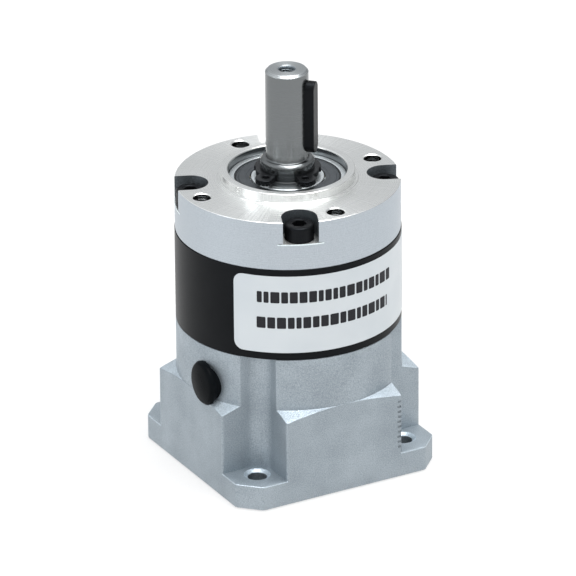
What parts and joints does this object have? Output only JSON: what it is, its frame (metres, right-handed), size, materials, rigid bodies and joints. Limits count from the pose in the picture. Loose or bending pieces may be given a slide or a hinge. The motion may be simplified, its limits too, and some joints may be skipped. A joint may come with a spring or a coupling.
{
  "type": "inline gear reducer",
  "caption": "Inline planetary gear reducer with a square motor flange, a black ring gear, a round front flange and a keyed output shaft that turns.",
  "frame": {"origin": "centre of the motor mounting face, on the shaft axis", "axes": "+Z along the output shaft; +X and +Y along the sides of the square motor flange, the access plug on -X"},
  "size_m": [0.043, 0.0421, 0.077],
  "materials": {
    "cast_aluminium": "fine blasted die casting",
    "machined_aluminium": "satin sides, bright turned top face",
    "black_oxide": "satin black oxide",
    "screw_black": "black oxide",
    "shaft_steel": "ground",
    "gear_steel": "ground",
    "bearing_steel": "polished",
    "cage_brass": "satin",
    "washer_bronze": "satin",
    "seal_rubber": "matt nitrile",
    "plug_plastic": "satin black",
    "label_film": "smooth satin film"
  },
  "bodies": {
    "housing": {"motor_adapter": "cast_aluminium", "ring_gear": "black_oxide", "front_flange": "machined_aluminium", "rating_label": "label_film", "housing_screw_1": "screw_black", "housing_screw_2": "screw_black", "housing_screw_3": "screw_black", "housing_screw_4": "screw_black", "rear_o_ring": "seal_rubber", "front_o_ring": "seal_rubber", "front_bearing_outer": "bearing_steel", "front_bearing_seal": "seal_rubber", "front_bearing_rear_seal": "seal_rubber", "rear_bearing_outer": "bearing_steel", "input_bearing_outer": "bearing_steel", "input_bearing_shields": "bearing_steel"},
    "output": {"output_shaft": "shaft_steel", "output_key": "screw_black", "shaft_circlip": "screw_black", "shaft_shim": "bearing_steel", "carrier_cover": "gear_steel", "carrier_screws": "screw_black", "planet_pin_1": "bearing_steel", "planet_pin_2": "bearing_steel", "planet_pin_3": "bearing_steel", "thrust_washers_1": "washer_bronze", "thrust_washers_2": "washer_bronze", "thrust_washers_3": "washer_bronze", "front_bearing_inner": "bearing_steel", "rear_bearing_inner": "bearing_steel"},
    "input": {"input_shaft": "gear_steel", "input_circlip": "screw_black", "clamp_ring": "screw_black", "clamp_screw": "screw_black", "input_bearing_inner": "bearing_steel"},
    "planet_1": {"planet_gear_1": "gear_steel"},
    "planet_2": {"planet_gear_2": "gear_steel"},
    "planet_3": {"planet_gear_3": "gear_steel"},
    "needles_1": {"planet_needles_1": "bearing_steel"},
    "needles_2": {"planet_needles_2": "bearing_steel"},
    "needles_3": {"planet_needles_3": "bearing_steel"},
    "front_ball_set": {"front_bearing_balls": "bearing_steel", "front_bearing_cage": "cage_brass"},
    "rear_ball_set": {"rear_bearing_balls": "bearing_steel", "rear_bearing_cage": "cage_brass"},
    "input_ball_set": {"input_bearing_balls": "bearing_steel", "input_bearing_cage": "cage_brass"},
    "plug": {"access_plug": "plug_plastic"}
  },
  "joints": [
    {"name": "output_spin", "type": "hinge", "parent": "housing", "child": "output", "pos_m": [0, 0, 0], "axis": [0, 0, 1], "continuous": true},
    {"name": "input_spin", "type": "hinge", "parent": "housing", "child": "input", "pos_m": [0, 0, 0], "axis": [0, 0, 1], "continuous": true},
    {"name": "planet_1_spin", "type": "hinge", "parent": "output", "child": "planet_1", "pos_m": [0.009, 0, 0.0383], "axis": [0, 0, 1], "continuous": true},
    {"name": "needles_1_spin", "type": "hinge", "parent": "output", "child": "needles_1", "pos_m": [0.009, 0, 0.0383], "axis": [0, 0, 1], "continuous": true},
    {"name": "planet_2_spin", "type": "hinge", "parent": "output", "child": "planet_2", "pos_m": [-0.0045, 0.00779, 0.0383], "axis": [0, 0, 1], "continuous": true},
    {"name": "needles_2_spin", "type": "hinge", "parent": "output", "child": "needles_2", "pos_m": [-0.0045, 0.00779, 0.0383], "axis": [0, 0, 1], "continuous": true},
    {"name": "planet_3_spin", "type": "hinge", "parent": "output", "child": "planet_3", "pos_m": [-0.0045, -0.00779, 0.0383], "axis": [0, 0, 1], "continuous": true},
    {"name": "needles_3_spin", "type": "hinge", "parent": "output", "child": "needles_3", "pos_m": [-0.0045, -0.00779, 0.0383], "axis": [0, 0, 1], "continuous": true},
    {"name": "front_ball_spin", "type": "hinge", "parent": "housing", "child": "front_ball_set", "pos_m": [0, 0, 0], "axis": [0, 0, 1], "continuous": true},
    {"name": "rear_ball_spin", "type": "hinge", "parent": "housing", "child": "rear_ball_set", "pos_m": [0, 0, 0], "axis": [0, 0, 1], "continuous": true},
    {"name": "input_ball_spin", "type": "hinge", "parent": "housing", "child": "input_ball_set", "pos_m": [0, 0, 0], "axis": [0, 0, 1], "continuous": true},
    {"name": "access_plug_pull", "type": "slide", "parent": "housing", "child": "plug", "axis": [-1, 0, 0], "range_m": [0, 0.012]}
  ],
  "couplings": [
    {"joint": "input_spin", "follows": "output_spin", "ratio": 5},
    {"joint": "planet_1_spin", "follows": "output_spin", "ratio": -2.6667},
    {"joint": "needles_1_spin", "follows": "output_spin", "ratio": -1.6814},
    {"joint": "planet_2_spin", "follows": "output_spin", "ratio": -2.6667},
    {"joint": "needles_2_spin", "follows": "output_spin", "ratio": -1.6814},
    {"joint": "planet_3_spin", "follows": "output_spin", "ratio": -2.6667},
    {"joint": "needles_3_spin", "follows": "output_spin", "ratio": -1.6814},
    {"joint": "front_ball_spin", "follows": "output_spin", "ratio": 0.40313},
    {"joint": "rear_ball_spin", "follows": "output_spin", "ratio": 0.44333},
    {"joint": "input_ball_spin", "follows": "output_spin", "ratio": 2.2051}
  ]
}
